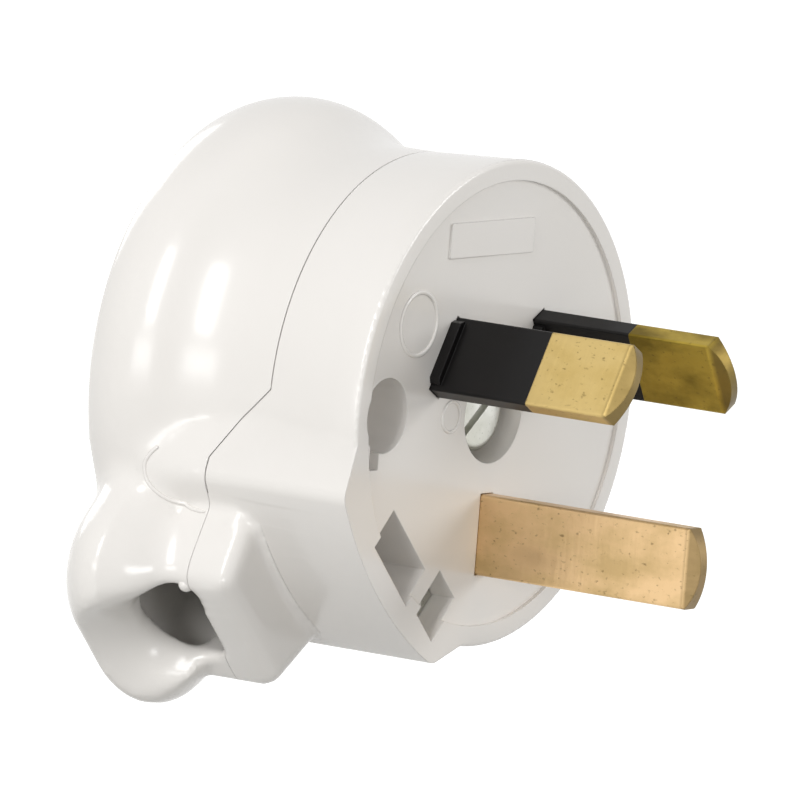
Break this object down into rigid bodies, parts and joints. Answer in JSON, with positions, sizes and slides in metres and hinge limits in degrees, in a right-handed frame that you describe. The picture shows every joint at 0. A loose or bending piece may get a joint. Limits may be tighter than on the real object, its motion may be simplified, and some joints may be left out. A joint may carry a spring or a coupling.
{
  "type": "three-pin mains plug",
  "caption": "Rewirable mains plug: round white moulded body, sleeved blades in a V, longer bare earth blade and a hooded side cord outlet.",
  "frame": {"origin": "centre of the pin pattern, on the plane of the face's rim", "axes": "-Y along the pins, out of the face; +Z away from the earth pin; +X towards the neutral pin"},
  "size_m": [0.047, 0.0462, 0.047],
  "materials": {
    "white_plastic": "moulded gloss",
    "black_plastic": "moulded satin",
    "active_brass": "drawn, handled",
    "neutral_brass": "drawn, dulled",
    "earth_brass": "drawn, handled",
    "terminal_brass": "machined",
    "plated_steel": "zinc plated"
  },
  "bodies": {
    "root": {"base": "white_plastic", "cover": "white_plastic", "active_pin": "active_brass", "neutral_pin": "neutral_brass", "earth_pin": "earth_brass", "active_pin_sleeve": "black_plastic", "neutral_pin_sleeve": "black_plastic", "cover_screw": "plated_steel", "clamp_nut": "plated_steel", "active_terminal": "terminal_brass", "neutral_terminal": "terminal_brass", "earth_terminal": "terminal_brass", "active_terminal_screw": "plated_steel", "neutral_terminal_screw": "plated_steel", "earth_terminal_screw": "plated_steel", "cover_insert": "terminal_brass", "cord_clamp": "plated_steel", "clamp_screw": "plated_steel"}
  },
  "joints": []
}
